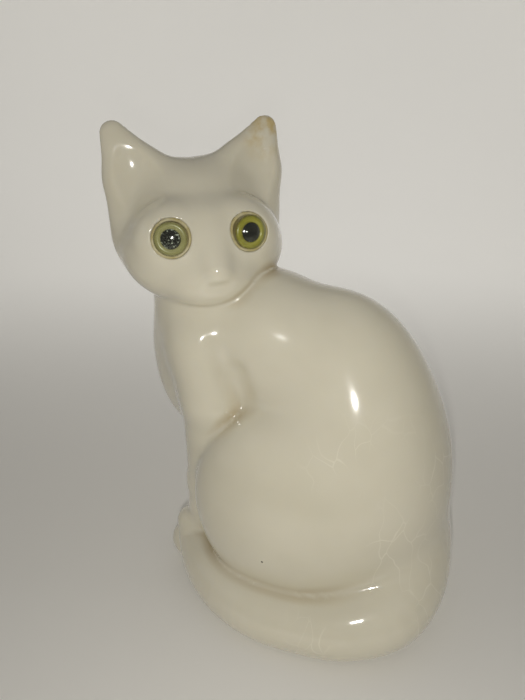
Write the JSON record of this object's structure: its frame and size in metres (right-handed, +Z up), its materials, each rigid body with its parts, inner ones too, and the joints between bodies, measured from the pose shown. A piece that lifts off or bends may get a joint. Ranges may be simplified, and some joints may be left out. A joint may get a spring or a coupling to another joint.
{
  "type": "ceramic cat figurine",
  "caption": "Hollow slip-cast sitting cat in ivory glaze, head turned over its left shoulder, with domed glass eyes cemented into the face.",
  "frame": {"origin": "the middle of the flat underside, on the plane that the figurine stands on", "axes": "+Z up, the body and front paws face -Y, the cat's left side and its tail are at +X"},
  "size_m": [0.1079, 0.149, 0.211],
  "materials": {
    "glazed_body": "glossy transparent glaze over ivory earthenware, finely crazed on the flank",
    "eye_cement": "yellowed cement, slightly uneven",
    "eye_enamel": "olive green painted enamel",
    "eye_black": "glossy black",
    "eye_glass": "clear polished glass dome"
  },
  "bodies": {
    "root": {"ceramic_body": "glazed_body", "left_eye_cement": "eye_cement", "left_eye_iris": "eye_enamel", "left_eye_pupil": "eye_black", "left_eye_glass": "eye_glass", "right_eye_cement": "eye_cement", "right_eye_iris": "eye_enamel", "right_eye_pupil": "eye_black", "right_eye_glass": "eye_glass"}
  },
  "joints": []
}
